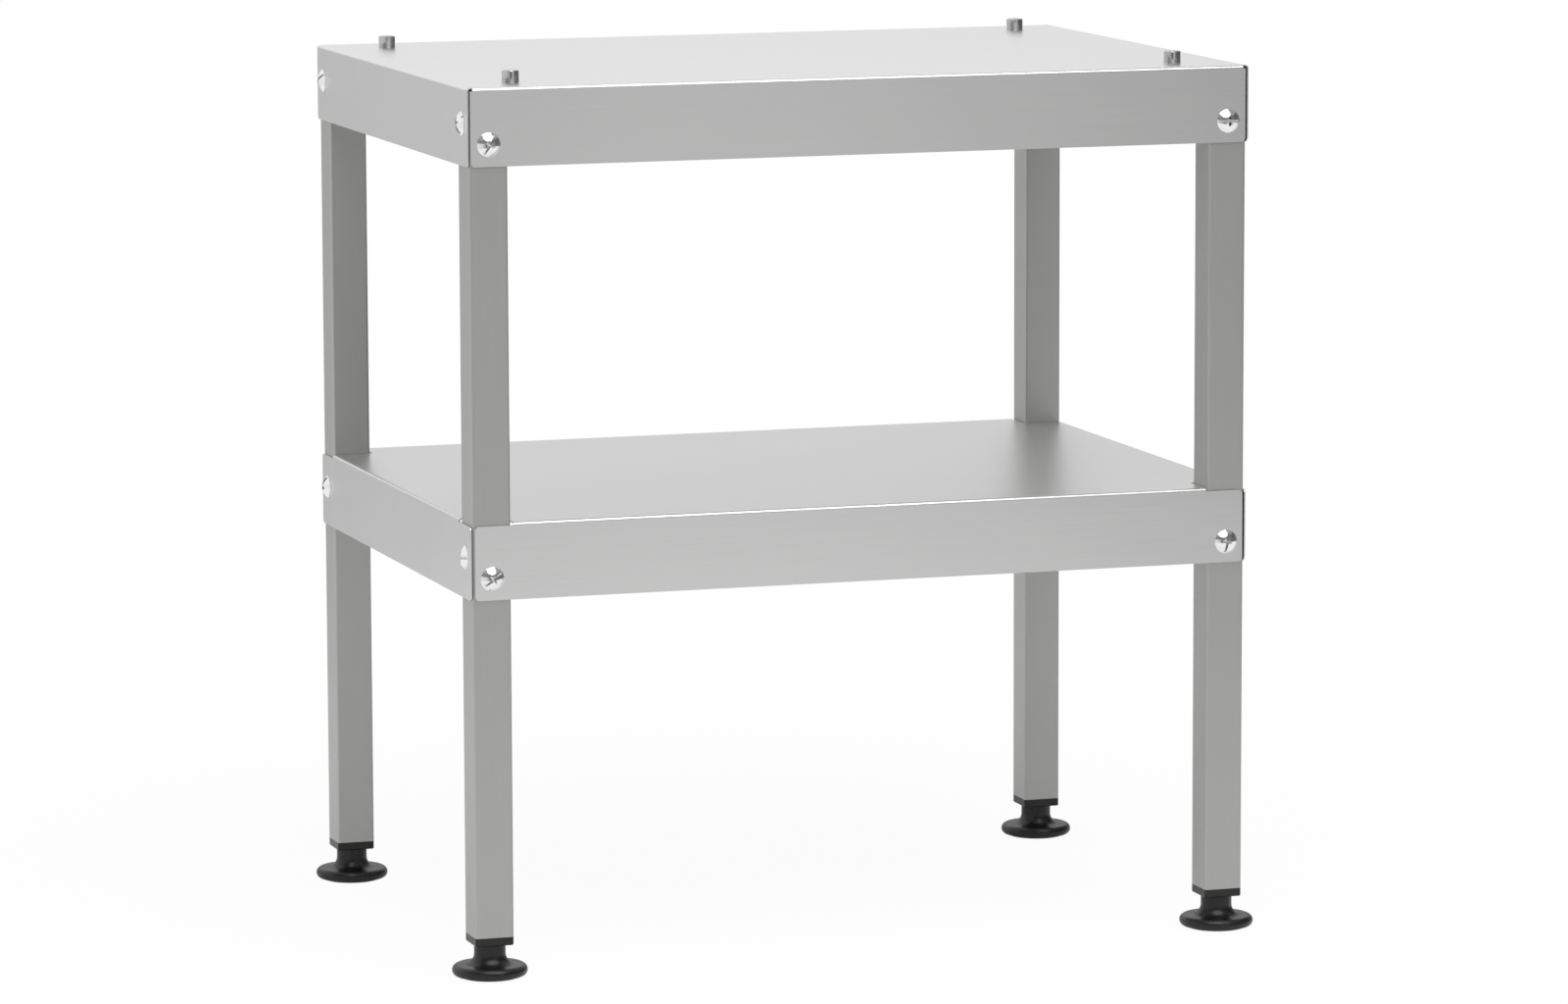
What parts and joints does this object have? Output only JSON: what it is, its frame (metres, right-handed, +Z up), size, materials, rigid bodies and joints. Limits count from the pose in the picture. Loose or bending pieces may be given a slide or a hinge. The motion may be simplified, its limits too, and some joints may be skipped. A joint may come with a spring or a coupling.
{
  "type": "smoker stand",
  "caption": "Open stand with folded stainless shelves on square tube legs, locating pins on top for an outdoor smoker, and screw-in levelling feet.",
  "frame": {"origin": "on the floor under the middle of the stand", "axes": "+X to the right along the width, +Y to the rear, +Z up; the front faces -Y"},
  "size_m": [0.6464, 0.4674, 0.683],
  "materials": {
    "stainless_sheet": "satin brushed stainless sheet",
    "stainless_tube": "satin stainless tube",
    "polished_steel": "polished stainless",
    "zinc_steel": "zinc-plated steel",
    "black_plastic": "black moulded plastic",
    "rubber": "black non-slip rubber"
  },
  "bodies": {
    "frame": {"top_shelf": "stainless_sheet", "lower_shelf": "stainless_sheet", "top_shelf_screws": "polished_steel", "top_shelf_rivet_nuts": "zinc_steel", "lower_shelf_screws": "polished_steel", "lower_shelf_rivet_nuts": "zinc_steel", "locating_pin_nuts": "zinc_steel", "leg_insert_nuts": "zinc_steel", "front_left_leg": "stainless_tube", "front_left_leg_insert": "black_plastic", "front_left_locating_pin": "polished_steel", "front_right_leg": "stainless_tube", "front_right_leg_insert": "black_plastic", "front_right_locating_pin": "polished_steel", "rear_left_leg": "stainless_tube", "rear_left_leg_insert": "black_plastic", "rear_left_locating_pin": "polished_steel", "rear_right_leg": "stainless_tube", "rear_right_leg_insert": "black_plastic", "rear_right_locating_pin": "polished_steel"},
    "front_left_pad": {"front_left_foot_pad": "rubber"},
    "front_left_foot": {"front_left_foot_base": "black_plastic", "front_left_foot_stud": "zinc_steel"},
    "front_right_pad": {"front_right_foot_pad": "rubber"},
    "front_right_foot": {"front_right_foot_base": "black_plastic", "front_right_foot_stud": "zinc_steel"},
    "rear_left_pad": {"rear_left_foot_pad": "rubber"},
    "rear_left_foot": {"rear_left_foot_base": "black_plastic", "rear_left_foot_stud": "zinc_steel"},
    "rear_right_pad": {"rear_right_foot_pad": "rubber"},
    "rear_right_foot": {"rear_right_foot_base": "black_plastic", "rear_right_foot_stud": "zinc_steel"}
  },
  "joints": [
    {"name": "front_left_foot_height", "type": "slide", "parent": "frame", "child": "front_left_pad", "axis": [0, 0, -1], "range_m": [0, 0.015]},
    {"name": "front_left_foot_turn", "type": "hinge", "parent": "front_left_pad", "child": "front_left_foot", "pos_m": [-0.2945, -0.205, 0], "axis": [0, 0, -1], "range_deg": [0, 3600]},
    {"name": "front_right_foot_height", "type": "slide", "parent": "frame", "child": "front_right_pad", "axis": [0, 0, -1], "range_m": [0, 0.015]},
    {"name": "front_right_foot_turn", "type": "hinge", "parent": "front_right_pad", "child": "front_right_foot", "pos_m": [0.2945, -0.205, 0], "axis": [0, 0, -1], "range_deg": [0, 3600]},
    {"name": "rear_left_foot_height", "type": "slide", "parent": "frame", "child": "rear_left_pad", "axis": [0, 0, -1], "range_m": [0, 0.015]},
    {"name": "rear_left_foot_turn", "type": "hinge", "parent": "rear_left_pad", "child": "rear_left_foot", "pos_m": [-0.2945, 0.205, 0], "axis": [0, 0, -1], "range_deg": [0, 3600]},
    {"name": "rear_right_foot_height", "type": "slide", "parent": "frame", "child": "rear_right_pad", "axis": [0, 0, -1], "range_m": [0, 0.015]},
    {"name": "rear_right_foot_turn", "type": "hinge", "parent": "rear_right_pad", "child": "rear_right_foot", "pos_m": [0.2945, 0.205, 0], "axis": [0, 0, -1], "range_deg": [0, 3600]}
  ],
  "couplings": [
    {"joint": "front_left_foot_height", "follows": "front_left_foot_turn", "m_per_rad": 0.0002387},
    {"joint": "front_right_foot_height", "follows": "front_right_foot_turn", "m_per_rad": 0.0002387},
    {"joint": "rear_left_foot_height", "follows": "rear_left_foot_turn", "m_per_rad": 0.0002387},
    {"joint": "rear_right_foot_height", "follows": "rear_right_foot_turn", "m_per_rad": 0.0002387}
  ]
}
